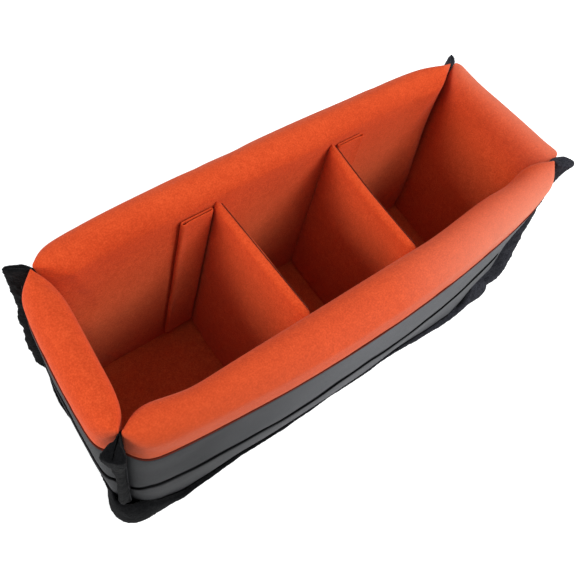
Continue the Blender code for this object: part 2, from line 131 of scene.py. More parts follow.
# Base cover
PAN_MID_HEIGHT = 0.0055
PAN_ROUND = 0.0025
PAN_CORNER_RUN = 0.014
PAN_TOP_RUN = 0.006
PAN_CORNER_FALL = 0.014
PAN_CORNER_PULL = 0.010
PAN_STRAIGHT_SHARE = 0.85
PAN_BULGE = 0.0010
PAN_DRAW = 0.0012
PAN_TUCK_UNDER = 0.0030
PAN_CAP_INSET = 0.004

# Corner ears
EAR_REACH = 0.0145
EAR_HALF_WIDTH = 0.0055
EAR_FOOT = 0.008
EAR_TOP_DROP = 0.0015
EAR_DROOP = 0.006
EAR_LEAN = 0.0038
EAR_POCKET = 0.034
EAR_ROOT_DEPTH = 0.0028
EAR_SHOULDER = 0.0016
EAR_CLOTH = 0.0012
EAR_LEVELS = 60
FLANK_STRIP = 0.0045
FLANK_RUN = 0.020
FLANK_ROUND = 0.004
FLANK_PROUD = 0.0006
FLANK_TOP = (0.126, 0.108)
FLANK_FOOT = (0.002, 0.030)
EAR_NOTCH = 0.0042
EAR_CREASES = (0.0009, 0.0009, 0.0006)
EAR_PLEATS = 0.0005
STITCH_LEVELS = (0.030, 0.138)
STITCH_PITCH = 0.0034
STITCH_SHARE = 0.0155
STITCH_RADIUS = 0.00028

# Dividers and their tabs
DIVIDER_TOP = 0.139
DIVIDER_HALF = 0.0033
DIVIDER_CROWN = 0.0014
DIVIDERS = {"left_divider": (-0.0430, 0.010, -1), "right_divider": (0.0460, 0.005, 1)}
DIVIDER_TURN = {"left_divider": 0.0, "right_divider": 0.0066}
DIVIDER_TURN_LEVEL = 0.070
DIVIDER_REACH = 0.042
DIVIDER_STATIONS = 27
TAB_WIDTH = 0.0210
TAB_HALF = 0.0013
TAB_BEAD = 0.0017
TAB_LAYER = 0.0009
TAB_STANDOFF = 0.0031
TAB_CREASE = 0.0051
TAB_FOOT = 0.0152
TAB_TOP = 0.1375
FRONT_TAB_TOP = 0.1180
TAB_SLOT_DEPTH = 0.030
TAB_FREE_RUN = (0.002, 0.018)

# Seam threads
SEAM_RADIUS = 0.0006
EDGE_SEAM_DROP = 0.0004
EDGE_SEAM_PROUD = 0.0001
TUCK_SEAM_RISE = 0.0003
TOP_SEAM_RADIUS = 0.0003

# Stations along a long and along a short wall, and rows up a pad's section
PAD_STATIONS = {True: 61, False: 27}
SHELL_STATIONS = {True: 91, False: 35}
PAN_STATIONS = {True: 161, False: 49}
END_CROWDING = 0.75
INNER_ROWS = 25
RIM_ROWS = 15
DOWN_SHARES = (0.3, 0.6, 0.85, 0.96)
EDGE_ROW = INNER_ROWS + RIM_ROWS + len(DOWN_SHARES) - 1

# The lining's cut edge turned in: how far down and how deep
EDGE_FOLD = ((0.0, 0.0004), (0.0003, 0.0012), (0.0012, 0.0018))

# Cloth simulation
SETTLE_FRAMES = 20
PAD_PRESSURE = 2.0
PAD_GROWTH = 0.004
WALL_SWELL_CAP = 0.0008
DIVIDER_SWELL_CAP = 0.0003
CLOTH_SETTINGS = dict(
    quality=4, mass=0.2, tension_stiffness=20, compression_stiffness=12, shear_stiffness=6, bending_stiffness=0.6,
)

# Each wall's direction, bow, swell at its foot, middle and rim, thickness, and how blunt its two ends are
LONG_WALL = dict(long=True, foot=0.0215, rim=0.023)
SHORT_WALL = dict(long=False, foot=0.014, rim=0.021)
WALL_SIZES = {
    "front": dict(LONG_WALL, along=(1, 0), bow=0.0105, swell=(0.0040, 0.0144, 0.0127), end=(0.65, 0.65)),
    "right": dict(SHORT_WALL, along=(0, 1), bow=0.0020, swell=(-0.0015, 0.0026, 0.0008), end=(0.22, 0.22)),
    "back": dict(LONG_WALL, along=(-1, 0), bow=0.0055, swell=(0, 0.0048, 0.0047), end=(1.4, 0.65)),
    "left": dict(SHORT_WALL, along=(0, -1), bow=0.0020, swell=(-0.0033, 0.0014, 0.0020), end=(0.65, 0.65)),
}

# How far up an ear, how far out and how wide it is there
DROOPING_EAR = (
    (0, 0.15, 0.4), (0.1, 0.3, 0.5), (0.16, 0.5, 0.58), (0.26, 0.58, 0.56), (0.45, 0.54, 0.52),
    (0.62, 0.5, 0.54), (0.74, 0.54, 0.62), (0.84, 0.7, 0.95), (0.92, 0.8, 1.16), (1, 0.82, 1.2),
)
FLAT_EAR = (
    (0, 0.3, 0.35), (0.09, 0.5, 0.4), (0.18, 0.88, 0.45), (0.36, 0.96, 0.5), (0.8, 0.88, 0.5), (1, 0.92, 0.42),
)
EVEN_EAR = (
    (0, 0.3, 0.4), (0.09, 0.4, 0.5), (0.18, 0.86, 0.6), (0.36, 0.92, 0.55), (0.8, 0.8, 0.5), (1, 0.68, 0.46),
)
FLARED_EAR = (
    (0, 1.25, 0.55), (0.05, 1.6, 0.6), (0.12, 1.72, 0.6), (0.2, 1.64, 0.65), (0.37, 1.32, 0.7), (0.49, 1.18, 0.7),
    (0.6, 1.0, 0.66), (0.72, 0.84, 0.64), (0.86, 0.66, 0.62), (0.93, 0.74, 0.7), (1, 0.9, 0.8),
)

# The outline of a fold from its root to its tip: along it, its width where it is full and where it spreads
FOLD_OUTLINE = (
    (0, 0.8, 0.2), (0.12, 0.93, 0.34), (0.34, 1, 0.6), (0.52, 0.97, 0.8), (0.7, 0.87, 0.96), (0.84, 0.68, 1),
    (0.94, 0.43, 0.82), (0.985, 0.2, 0.45), (1, 0, 0),
)

# Each corner's side, its ear's top, droop, lean and foot, and the pan's boot under it
PLAIN_CORNER = dict(drop=1, droop=0, lean=0, spread=0, foot=EAR_FOOT)
CORNERS = {
    "front_right": dict(PLAIN_CORNER, x=1, y=-1, boot=0.016, foot=0.0020, ear=FLARED_EAR, pull=(1.6, 0.8)),
    "back_right": dict(PLAIN_CORNER, x=1, y=1, droop=0.15, boot=0.024, ear=EVEN_EAR, pull=(0.7, 0.7)),
    "back_left": dict(PLAIN_CORNER, x=-1, y=1, drop=2.5, lean=1, boot=0.022, ear=FLAT_EAR, pull=(0.2, 0.1)),
    "front_left": dict(
        PLAIN_CORNER, x=-1, y=-1, drop=3, droop=1, spread=1, boot=0.029, foot=0.014,
        ear=DROOPING_EAR, pull=(1.15, -0.25),
    ),
}


class Wall:
    """One padded wall, with its seams' reach and seat from the centre at the foot and at the rim."""

    def __init__(self, name, along, long, bow, swell, foot, rim, end):
        self.name = name
        self.along = along
        self.outward = (along[1], -along[0])
        self.long = long
        self.bow = bow
        self.swell = swell
        self.end = end
        self.half = (foot / 2, rim / 2)
        lengths = (FOOT_SEAM_LENGTH / 2, SEAM_LENGTH / 2)
        widths = (FOOT_SEAM_WIDTH / 2, SEAM_WIDTH / 2)
        self.reach = lengths if long else widths
        self.seat = widths if long else lengths

    def faces(self, share, level):
        """Offsets of the inner and outer face from the plane of the seams."""
        up = level / HEIGHT
        half = mix(*self.half, up)
        run = mix(*self.reach, up) * (1 - np.abs(share))
        beyond = np.maximum(np.abs(share) - FLAT_FACE_SHARE, 0) / (1 - FLAT_FACE_SHARE)
        flat_bow = (1 + np.cos(np.pi * beyond)) / 2
        groove, fill = half, 0
        if self.name == "back":
            near_foot = 1 - smooth_step(level, *BACK_FOOT_LEVELS)
            groove = half * np.where(share < 0, 1 - 0.5 * near_foot, 1)
            near_end = smooth_step(-share, *BACK_FOOT_SHARES) * np.tanh(run / BACK_FOOT_ROUND)
            fill = BACK_FOOT_FILL * near_foot * near_end
        elif self.name == "front":
            fill = smooth_step(share, *RIM_FILL_START_SHARES) * (1 - smooth_step(share, *RIM_FILL_END_SHARES))
            fill = RIM_FILL * fill * smooth_step(level, *RIM_FILL_LEVELS)
        inner = self.bow * up * flat_bow - half * np.tanh(np.maximum(run - FIT_GAP, 0) / groove) - fill
        foot, middle, rim = self.swell
        low = mix(foot, middle, np.sin(np.pi * np.minimum(up, 0.5)))
        swell = np.where(up < 0.5, low, mix(middle, rim, 2 * up - 1))
        end = np.where(share < 0, *self.end)
        fullness = (1 - share**2) ** np.where((self.name == "back") & (share < 0), BACK_SWELL_POWER, 1)
        return inner, swell * fullness + half * np.tanh(run / (end * half))

    def rim_level(self, share):
        run = self.reach[1] * (1 - np.abs(share))
        drop = RIM_DROP * (self.name != "right") * np.where((self.name == "back") & (share < 0), 0.1, 1)
        return HEIGHT - RIM_RISE - drop * (1 - np.tanh(run / RIM_DROP_RUN))

    def place(self, share, level, offset, height):
        """World points at shares of the wall's length and offsets from its seam plane."""
        up = level / HEIGHT
        run = share * mix(*self.reach, up)
        out = mix(*self.seat, up) + offset
        run, out, height = np.broadcast_arrays(run, out, height)
        x = self.along[0] * run + self.outward[0] * out
        y = self.along[1] * run + self.outward[1] * out
        return np.stack((x, y, height), axis=-1)

    def middle_face(self, height):
        """The inner face's Y where the dividers meet it."""
        inner = self.faces(np.zeros_like(height), height)[0]
        return self.outward[1] * (mix(*self.seat, height / HEIGHT) + inner)


def mix(low, high, share):
    return low + (high - low) * share


def smooth_step(value, low, high):
    share = np.clip((value - low) / (high - low), 0, 1)
    return share * share * (3 - 2 * share)


def skewed(points):
    """Leans the two ends as the soft insert does, and moves its foot out of line in front, left and right."""
    points = np.array(points, float)
    x, y, z = points.T.copy()
    up = z / HEIGHT
    side = y / (SEAM_WIDTH / 2)
    turn = mix(SKEW_FOOT_TURN, SKEW_RIM_TURN, up) * side
    points[:, 0] += smooth_step(-x, SKEW_START, SKEW_END) * (SKEW_RIM_SHIFT * up + turn)
    right = smooth_step(x, RIGHT_START, RIGHT_END) * up
    points[:, 0] += right * (RIGHT_SHIFT - RIGHT_TURN * side)
    right_foot = smooth_step(x, RIGHT_START, RIGHT_END) * (1 - up) * smooth_step(y, *RIGHT_FOOT_RUN)
    points[:, 0] += RIGHT_FOOT * right_foot
    points[:, 1] += right * RIGHT_BACK
    low = (1 - np.clip(up, 0, 1)) ** FOOT_STRAY_POWER
    front = smooth_step(-y, *FRONT_FOOT_RUN)
    points[:, 1] -= front * low * np.interp(x, *zip(*FRONT_FOOT_LINE))
    left = smooth_step(-x, *LEFT_FOOT_RUN)
    points[:, 0] -= left * low * np.interp(y, *zip(*LEFT_FOOT_LINE))
    return points


WALLS = {name: Wall(name, **sizes) for name, sizes in WALL_SIZES.items()}


# Meshes


def field(points, scale, seed):
    """Smooth noise from -1 to 1 at each point, the same on every run."""
    shift = Vector((seed * 7.31, seed * 3.17, seed * 5.71))
    flat = points.reshape(-1, 3)
    values = [noise.noise(Vector(point) / scale + shift) for point in flat]
    return np.array(values).reshape(points.shape[:-1])


def add_object(name, data):
    made = bpy.data.objects.new(name, data)
    bpy.context.scene.collection.objects.link(made)
    return made


def new_piece(name, verts, faces, finish):
    mesh = bpy.data.meshes.new(name)
    mesh.from_pydata([tuple(point) for point in skewed(verts)], [], faces)
    mesh.materials.append(finish)
    shape = bmesh.new()
    shape.from_mesh(mesh)
    bmesh.ops.recalc_face_normals(shape, faces=shape.faces)
    shape.to_mesh(mesh)
    shape.free()
    mesh.shade_smooth()
    return add_object(name, mesh)


def ring_faces(rings, count):
    """Faces of a closed tube of rings, with a face at each end."""
    faces = []
    for ring in range(rings - 1):
        low, high = ring * count, (ring + 1) * count
        for step in range(count):
            after = (step + 1) % count
            faces.append((low + step, low + after, high + after, high + step))
    return faces + [tuple(range(count)), tuple(range((rings - 1) * count, rings * count))]


def sheet_mesh(front, back):
    """A closed thin sheet from two grids of the same shape, its edges joined."""
    rows, columns = front.shape[:2]
    verts = np.concatenate((front.reshape(-1, 3), back.reshape(-1, 3)))
    half = rows * columns
    faces = []
    for row in range(rows - 1):
        for column in range(columns - 1):
            start = row * columns + column
            quad = (start, start + 1, start + 1 + columns, start + columns)
            faces.append(quad)
            faces.append(tuple(half + index for index in quad[::-1]))
    edge = list(range(columns))
    edge += [row * columns + columns - 1 for row in range(1, rows)]
    edge += [(rows - 1) * columns + column for column in range(columns - 2, -1, -1)]
    edge += [row * columns for row in range(rows - 2, 0, -1)]
    for index, after in zip(edge, edge[1:] + edge[:1]):
        faces.append((index, half + index, half + after, after))
    return verts, faces


def tube(points, radius, sides=6):
    """Rings around a line of points, for a thread or a bead."""
    points = np.asarray(points, float)
    rings = []
    side = None
    for index, point in enumerate(points):
        ahead = points[min(index + 1, len(points) - 1)] - points[max(index - 1, 0)]
        ahead /= np.linalg.norm(ahead)
        side = side if side is not None else np.cross(ahead, (0.13, 0.21, 0.97))
        side = side - ahead * side.dot(ahead)
        side /= np.linalg.norm(side)
        other = np.cross(ahead, side)
        for step in range(sides):
            turn = 2 * math.pi * step / sides
            rings.append(point + radius * (side * math.cos(turn) + other * math.sin(turn)))
    return rings, ring_faces(len(points), sides)


def stitch_mesh(starts, ends, radius):
    """Separate short threads, each a closed tube."""
    verts, faces = [], []
    for start, end in zip(starts, ends):
        line = [mix(start, end, share) for share in (0, 0.3, 0.7, 1)]
        rings, quads = tube(line, radius, 5)
        faces += [tuple(len(verts) + index for index in face) for face in quads]
        verts += rings
    return verts, faces


def subdivide(piece, levels):
    modifier = piece.modifiers.new("Smooth", "SUBSURF")
    modifier.levels = levels
    modifier.render_levels = levels


def apply_modifiers(piece):
    """Bakes the piece's modifiers into its mesh."""
    evaluated = piece.evaluated_get(bpy.context.evaluated_depsgraph_get())
    mesh = bpy.data.meshes.new_from_object(evaluated)
    piece.modifiers.clear()
    piece.data = mesh
    mesh.shade_smooth()


def read_points(mesh):
    points = np.empty(len(mesh.vertices) * 3)
    mesh.vertices.foreach_get("co", points)
    return points.reshape(-1, 3)


def write_points(mesh, points):
    mesh.vertices.foreach_set("co", points.reshape(-1))
    mesh.update()


def roughen(piece, *layers):
    """Moves each vertex along its normal by layers of noise, given as a size, a height and a seed."""
    mesh = piece.data
    points = read_points(mesh)
    normals = np.empty(points.size, np.float32)
    mesh.vertex_normals.foreach_get("vector", normals)
    move = sum(height * field(points, size, seed) for size, height, seed in layers)
    write_points(mesh, points + move[:, None] * normals.reshape(-1, 3))


def finish_piece(piece, body, slot, *nodes):
    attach(piece, body)
    if nodes:
        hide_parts(*nodes)


# Materials


class Nodes:
    """Short calls for making a node material."""

    def __init__(self, name):
        self.material = bpy.data.materials.new(name)
        self.material.use_nodes = True
        self.tree = self.material.node_tree
        self.shader = self.tree.nodes["Principled BSDF"]
        self.where = self.tree.nodes.new("ShaderNodeTexCoord").outputs["Object"]

    def link(self, source, target):
        self.tree.links.new(source, target)

    def texture(self, kind, scale, detail, **extra):
        made = self.tree.nodes.new(kind)
        made.inputs["Scale"].default_value = scale
        made.inputs["Detail"].default_value = detail
        for name, value in extra.items():
            made.inputs[name].default_value = value
        self.link(self.where, made.inputs["Vector"])
        return made.outputs[0]

    def ramp(self, source, stops):
        made = self.tree.nodes.new("ShaderNodeValToRGB")
        ramp = made.color_ramp
        while len(ramp.elements) < len(stops):
            ramp.elements.new(0.5)
        for element, (position, colour) in zip(ramp.elements, stops):
            element.position = position
            element.color = (*colour, 1)
        self.link(source, made.inputs["Fac"])
        return made.outputs["Color"]

    def shade(self, source, *stops):
        """A ramp of greys, given as places and values."""
        return self.ramp(source, [(at, (value,) * 3) for at, value in stops])

    def place(self, axis, low, high):
        """A value that runs from 0 to 1 between two places along an axis."""
        apart = self.tree.nodes.new("ShaderNodeSeparateXYZ")
        self.link(self.where, apart.inputs[0])
        return self.math("DIVIDE", self.math("SUBTRACT", apart.outputs[axis], low), high - low)

    def fade(self, share, first, second):
        """The first colour where the share is 0 and a plain second one where it is 1."""
        made = self.tree.nodes.new("ShaderNodeMix")
        made.data_type = "RGBA"
        self.link(share, made.inputs[0])
        self.link(first, made.inputs[6])
        made.inputs[7].default_value = second
        return made.outputs[2]

    def multiply(self, first, second):
        made = self.tree.nodes.new("ShaderNodeVectorMath")
        made.operation = "MULTIPLY"
        self.link(first, made.inputs[0])
        self.link(second, made.inputs[1])
        return made.outputs[0]

    def math(self, operation, first, second):
        made = self.tree.nodes.new("ShaderNodeMath")
        made.operation = operation
        for socket, value in zip(made.inputs, (first, second)):
            if isinstance(value, (int, float)):
                socket.default_value = value
            else:
                self.link(value, socket)
        return made.outputs[0]

    def blend(self, *parts):
        """The weighted sum of some textures."""
        total = None
        for source, weight in parts:
            part = self.math("MULTIPLY", source, weight)
            total = part if total is None else self.math("ADD", total, part)
        return total

    def bump(self, height, strength, distance):
        made = self.tree.nodes.new("ShaderNodeBump")
        made.inputs["Strength"].default_value = strength
        made.inputs["Distance"].default_value = distance
        self.link(height, made.inputs["Height"])
        self.link(made.outputs["Normal"], self.shader.inputs["Normal"])

    def set(self, **values):
        for name, value in values.items():
            self.shader.inputs[name.replace("_", " ")].default_value = value


# Places that the colours follow
INSERT_X = (-0.160, 0.160)
INSERT_Z = (0.0, 0.150)
OUTER_FACE_Y = (-0.044, -0.070)
SHADED_LEFT_X = (-0.050, -0.165)
RIGHT_RIM_X = (0.150, 0.168)

# Painted sheen and painted shade on the outer face: paler towards the right for the pile's sheen in the light,
# deeper towards the left where it lies in shade
PAINTED_SHEEN_ALONG = ((0, 0), (0.5, 0.06), (0.78, 0.42), (1, 0.7))
PAINTED_SHEEN = (0.74, 0.34, 0.24)
OUTER_PAINTED_SHADE = (0.43, 0.062, 0.017)

# The coating's painted shade and reflection along the insert: darker towards the left end and lighter from the
# middle to the right, for how the light and its reflection fall
NYLON_PAINTED_SHADE = ((0, 0.26), (0.125, 0.28), (0.44, 0.95), (0.81, 0.88))


def loop_cloth(name, dark, mid, light, sheen):
    """Brushed loop knit: short pile, mottled at the scale of its loops, redder high up and browner low down as
    painted shadow hue, paler on the outer rim to the right as painted sheen, and deeper on its outer face to the
    left as painted shade.
    """
    nodes = Nodes(name)
    loops = nodes.texture("ShaderNodeTexNoise", 1100, 3.0)
    patches = nodes.texture("ShaderNodeTexNoise", 260, 3.0)
    broad = nodes.texture("ShaderNodeTexNoise", 30, 2.0)
    mottle = nodes.blend((loops, 0.62), (patches, 0.24), (broad, 0.14))
    colour = nodes.ramp(mottle, ((0.36, dark), (0.50, mid), (0.64, light)))
    # Painted shadow hue: the colour is browner low down, where the inside of the insert lies in shade, and redder
    # up at the rim
    shadow_hue = nodes.ramp(nodes.place("Z", *INSERT_Z), ((0.45, (1, 1, 1)), (0.9, (1, 0.6, 0.45))))
    colour = nodes.multiply(colour, shadow_hue)
    # Painted sheen: paler colour on the rim's outer face and on the right end's rim, growing towards the right
    along = nodes.shade(nodes.place("X", *INSERT_X), *PAINTED_SHEEN_ALONG)
    rim = nodes.shade(nodes.place("Z", *INSERT_Z), (0.80, 0), (0.95, 1))
    outer = nodes.shade(nodes.place("Y", *OUTER_FACE_Y), (0, 0), (1, 1))
    # Painted shade: a deeper colour on the outer face towards the left end
    left = nodes.shade(nodes.place("X", *SHADED_LEFT_X), (0, 0), (1, 0.8))
    colour = nodes.fade(nodes.multiply(left, outer), colour, (*OUTER_PAINTED_SHADE, 1))
    right = nodes.shade(nodes.place("X", *RIGHT_RIM_X), (0, 0), (1, 0.5))
    sheen_faces = nodes.math("MAXIMUM", outer, right)
    # The painted sheen is laid on the outer face and on the right rim
    colour = nodes.fade(nodes.multiply(nodes.multiply(along, rim), sheen_faces), colour, (*PAINTED_SHEEN, 1))
    nodes.link(colour, nodes.shader.inputs["Base Color"])
    pile = nodes.texture("ShaderNodeTexNoise", 1700, 4.0)
    nodes.bump(nodes.blend((pile, 0.6), (patches, 0.35)), 0.5, 0.0007)
    nodes.set(Roughness=0.95, Specular_IOR_Level=0.12)
    nodes.set(Sheen_Weight=sheen, Sheen_Roughness=0.40, Sheen_Tint=(1.0, 0.62, 0.48, 1))
    return nodes.material


def coated_nylon(name):
    """Thin coated weave with a satin face."""
    nodes = Nodes(name)
    warp = nodes.texture("ShaderNodeTexWave", 620, 0.0, Distortion=0.6)
    grain = nodes.texture("ShaderNodeTexNoise", 1400, 2.0)
    broad = nodes.texture("ShaderNodeTexNoise", 34, 4.0)
    mottle = nodes.blend((grain, 0.5), (broad, 0.5))
    colour = nodes.ramp(mottle, ((0.3, (0.085, 0.0855, 0.091)), (0.7, (0.125, 0.126, 0.134))))
    # Painted shade and painted reflection: the coating's colour follows the light along the insert
    shade = nodes.shade(nodes.place("X", *INSERT_X), *NYLON_PAINTED_SHADE)
    nodes.link(nodes.multiply(colour, shade), nodes.shader.inputs["Base Color"])
    rough = nodes.shade(broad, (0.3, 0.62), (0.7, 0.74))
    nodes.link(rough, nodes.shader.inputs["Roughness"])
    nodes.bump(nodes.blend((warp, 0.15), (grain, 0.5), (broad, 3.0)), 0.5, 0.0004)
    nodes.set(IOR=1.3, Specular_IOR_Level=0.14)
    return nodes.material


def black_pile(name):
    """Black brushed cloth, matt and slightly grey where its pile catches the light."""
    nodes = Nodes(name)
    tufts = nodes.texture("ShaderNodeTexNoise", 900, 4.0)
    patches = nodes.texture("ShaderNodeTexNoise", 190, 3.0)
    blend = nodes.blend((tufts, 0.6), (patches, 0.4))
    colour = nodes.ramp(blend, ((0.35, (0.012, 0.012, 0.0158)), (0.65, (0.0435, 0.0435, 0.054))))
    # Painted shade: the pile is darkened towards the left end and kept full at the right, for how the light falls
    # along the insert
    shade = nodes.ramp(nodes.place("X", *INSERT_X), ((0.3, (0.147, 0.147, 0.133)), (0.95, (1.0, 1.0, 1.0))))
    nodes.link(nodes.multiply(colour, shade), nodes.shader.inputs["Base Color"])
    nodes.bump(blend, 0.9, 0.0014)
    nodes.set(Roughness=1.0, Specular_IOR_Level=0.04, Sheen_Weight=0.025, Sheen_Roughness=0.6)
    return nodes.material


def thread(name, colour):
    nodes = Nodes(name)
    twist = nodes.texture("ShaderNodeTexNoise", 2400, 2.0)
    dark = tuple(value * 0.7 for value in colour)
    nodes.link(nodes.ramp(twist, ((0.35, dark), (0.65, colour))), nodes.shader.inputs["Base Color"])
    nodes.bump(twist, 0.4, 0.0003)
    nodes.set(Roughness=0.9, Specular_IOR_Level=0.1)
    return nodes.material


ORANGE = loop_cloth("orange_loop", (0.510, 0.082, 0.024), (0.600, 0.107, 0.032), (0.690, 0.140, 0.046), 0.16)
HOOK = loop_cloth("orange_hook", (0.460, 0.080, 0.028), (0.600, 0.108, 0.036), (0.740, 0.160, 0.060), 0.1)
NYLON = coated_nylon("grey_nylon")
PILE = black_pile("black_pile")
RED_THREAD = thread("red_thread", (0.110, 0.018, 0.010))
GREY_THREAD = thread("grey_thread", (0.050, 0.050, 0.055))
# A near-black thread for the tuck: a seam that also stands in for the shade in the tuck's crevice
TUCK_SHADE_THREAD = thread("dark_thread", (0.003, 0.003, 0.0035))


# Cloth simulation


def settle(piece, pins, cap):
    """Lets the piece swell as cloth, holding its seams, and moves each point no further than the cap."""
    scene = bpy.context.scene
    rest = read_points(piece.data)
    group = piece.vertex_groups.new(name="seams")
    group.add([int(index) for index in pins], 1.0, "REPLACE")
    modifier = piece.modifiers.new("Cloth", "CLOTH")
    cloth = modifier.settings
    for setting, value in CLOTH_SETTINGS.items():
        setattr(cloth, setting, value)
    cloth.vertex_group_mass = "seams"
    cloth.shrink_min = -PAD_GROWTH
    cloth.use_pressure = True
    cloth.uniform_pressure_force = PAD_PRESSURE
    cloth.effector_weights.gravity = 0
    modifier.collision_settings.use_collision = False
    modifier.point_cache.frame_start = 1
    modifier.point_cache.frame_end = SETTLE_FRAMES
    for step in range(1, SETTLE_FRAMES + 1):
        scene.frame_set(step)
    evaluated = piece.evaluated_get(bpy.context.evaluated_depsgraph_get())
    move = np.nan_to_num(read_points(evaluated.data) - rest)
    length = np.linalg.norm(move, axis=1, keepdims=True)
    move *= np.tanh(length / cap) * cap / np.maximum(length, 1e-9)
    piece.modifiers.remove(modifier)
    piece.vertex_groups.clear()
    scene.frame_set(1)
    write_points(piece.data, rest + move)


# Walls


def stations(wall, count):
    """Shares along a wall, closer together towards its seams."""
    reach = 1 - SEAM_GAP / wall.reach[1]
    turn = np.linspace(-1, 1, count)
    return reach * mix(turn, np.sin(np.pi / 2 * turn), END_CROWDING)[None, :]


def tucked(wall, share, level, inset):
    """The outer face pulled in by an inset, which eases off where the pad thins at its seams."""
    inner, outer = wall.faces(share, level)
    return outer - np.minimum(inset, 0.6 * (outer - inner))


def pad_rows(wall, share):
    """The section of a pad at each station: up inside, over the rim, down to the lining's edge and on behind."""
    rim = wall.rim_level(share)
    rows = []

    def add(level, offset):
        rows.append(wall.place(share, level, offset, level))

    for up in np.linspace(0, 1, INNER_ROWS + 1)[:-1]:
        level = mix(WALL_FOOT, rim, up)
        add(level, wall.faces(share, level)[0])
    inner, outer = wall.faces(share, rim)
    for turn in np.radians(np.linspace(0, 180, RIM_ROWS)):
        offset = (inner + outer) / 2 - (outer - inner) / 2 * np.cos(turn)
        rows.append(wall.place(share, rim, offset, rim + RIM_RISE * np.sin(turn)))
    for down in DOWN_SHARES:
        level = mix(rim, LINING_EDGE, down)
        add(level, wall.faces(share, level)[1])
    for drop, inset in EDGE_FOLD:
        level = np.full_like(share, LINING_EDGE - drop)
        add(level, tucked(wall, share, level, inset))
    for down in (0.3, 0.6, 0.8, 1.0):
        level = np.full_like(share, mix(LINING_EDGE, WALL_FOOT, down))
        add(level, tucked(wall, share, level, SHELL_ROOM + PAD_CLEARANCE))
    return np.concatenate(rows, axis=0)


def build_pad(wall):
    count = PAD_STATIONS[wall.long]
    share = stations(wall, count)
    grid = pad_rows(wall, share)
    rows = grid.shape[0]
    lumps = field(grid, 0.045, 3) * 0.0004
    middle = 1 - np.abs(share) ** 6
    grid = grid + (lumps * middle)[..., None] * np.array((*wall.outward, 0.0))
    verts = grid.transpose(1, 0, 2).reshape(-1, 3)
    piece = new_piece(wall.name + "_wall_pad", verts, ring_faces(count, rows), ORANGE)
    edges = [station * rows + row for station in (0, 1, count - 2, count - 1) for row in range(rows)]
    hidden = [station * rows + row for station in range(count) for row in (0, *range(EDGE_ROW, rows))]
    settle(piece, sorted(set(edges + hidden)), WALL_SWELL_CAP)
    subdivide(piece, 2)
    nodes = (wall.name + "_wall_foam", wall.name + "_wall_lining")
    finish_piece(piece, "insert", "orange_loop_lining", *nodes)


def tuck_height(wall, share):
    """The tuck's wavering line, highest in the middle of the front and dropping at the seams."""
    run = share * wall.reach[1]
    wave = TUCK_WAVE * np.sin(run * 90 + wall.bow * 900) + TUCK_RIPPLE * np.sin(run * 230 + 1.3)
    climb = TUCK_CLIMB * np.exp(-((run / TUCK_CLIMB_RUN) ** 2)) if wall.name == "front" else 0
    return TUCK_HEIGHT + wave + climb - TUCK_END_DROP * smooth_step(np.abs(share), 0.93, 1.0)


def shell_rows(wall, share):
    """The shell from the lining's edge down: the upper band, dipping into the tuck, then the lower band's lip."""
    tuck = tuck_height(wall, share)
    rows = []

    def add(level, proud):
        level = np.broadcast_to(level, share.shape)
        inner, outer = wall.faces(share, level)
        room = np.minimum(1, (outer - inner) / 0.006)
        rows.append(wall.place(share, level, outer + proud * room, level))

    top = LINING_EDGE - 0.0010
    add(top + 0.0003, -0.0014)
    add(top + 0.0002, -0.0002)
    add(top - 0.0006, 0.0006)
    for down in np.linspace(0.04, 0.93, 18):
        add(mix(top, tuck, down), 0.0006 * (1 - smooth_step(down, 0, 0.5)) - 0.0006 * down**8)
    add(tuck + 0.0013, -0.0008)
    add(tuck + 0.0006, -TUCK_DEPTH)
    add(tuck - 0.0001, -TUCK_DEPTH)
    add(tuck + 0.0001, TUCK_LIP * 0.2)
    add(tuck - 0.0002, TUCK_LIP * 0.8)
    add(tuck - 0.0011, TUCK_LIP)
    for down in np.linspace(0.04, 1.0, 17):
        add(mix(tuck - 0.0011, WALL_FOOT, down), TUCK_LIP * (1 - smooth_step(down, 0, 0.45)))
    return np.concatenate(rows, axis=0)


def over_ear(wall, share, grid):
    """Draws the shell's right end out over the flank of the ear that it is sewn to."""
    corner = CORNERS["front_right"]
    ups, reaches, widths = zip(*corner["ear"])
    height = grid[..., 2]
    level = (height - corner["foot"]) / (HEIGHT - corner["foot"])
    reach = EAR_REACH * np.interp(level, ups, reaches) - FLANK_STRIP
    foot_fade = mix(0.45, 1, smooth_step(height, *FLANK_FOOT))
    reach = np.maximum(reach, 0) * smooth_step(height, *FLANK_TOP) * foot_fade
    across = EAR_HALF_WIDTH * np.interp(level, ups, widths) + FLANK_PROUD
    flank = ear_points(corner, reach, across, height)
    near = smooth_step(wall.reach[1] * (1 - share), FLANK_RUN, 0) * np.minimum(1, reach / FLANK_ROUND)
    return mix(grid, flank, near[..., None])


def build_shell(wall):
    share = stations(wall, SHELL_STATIONS[wall.long])
    front = shell_rows(wall, share)
    down = np.clip(np.linspace(0, 1, front.shape[0]), 0.03, 0.97)[:, None]
    ease = (1 - np.abs(share) ** 8) * np.sin(np.pi * down) ** 0.5
    stretched = front * np.array((1.0, 1.0, 0.55))
    lumps = field(stretched, 0.040, 11) * 0.0008 + field(front, 0.014, 12) * 0.00025
    out = np.array((*wall.outward, 0.0))
    front = front + (lumps * ease)[..., None] * out
    if wall.name == "front":
        front = over_ear(wall, share, front)
    back = front - SHELL_CLOTH * out
    verts, faces = sheet_mesh(front, back)
    piece = new_piece(wall.name + "_wall_shell", verts, faces, NYLON)
    subdivide(piece, 1)
    nodes = (wall.name + "_wall_upper_shell", wall.name + "_wall_lower_shell")
    finish_piece(piece, "insert", "grey_coated_nylon", *nodes)


def build_line(wall, name, level, inset, finish, slot):
    """A thread that runs the length of a wall at a height."""
    share = stations(wall, SHELL_STATIONS[wall.long])
    level = np.broadcast_to(level, share.shape)
    line = wall.place(share, level, tucked(wall, share, level, inset), level)[0]
    verts, faces = tube(line, SEAM_RADIUS)
    finish_piece(new_piece(wall.name + "_wall_" + name, verts, faces, finish), "insert", slot)


# Floor and base cover


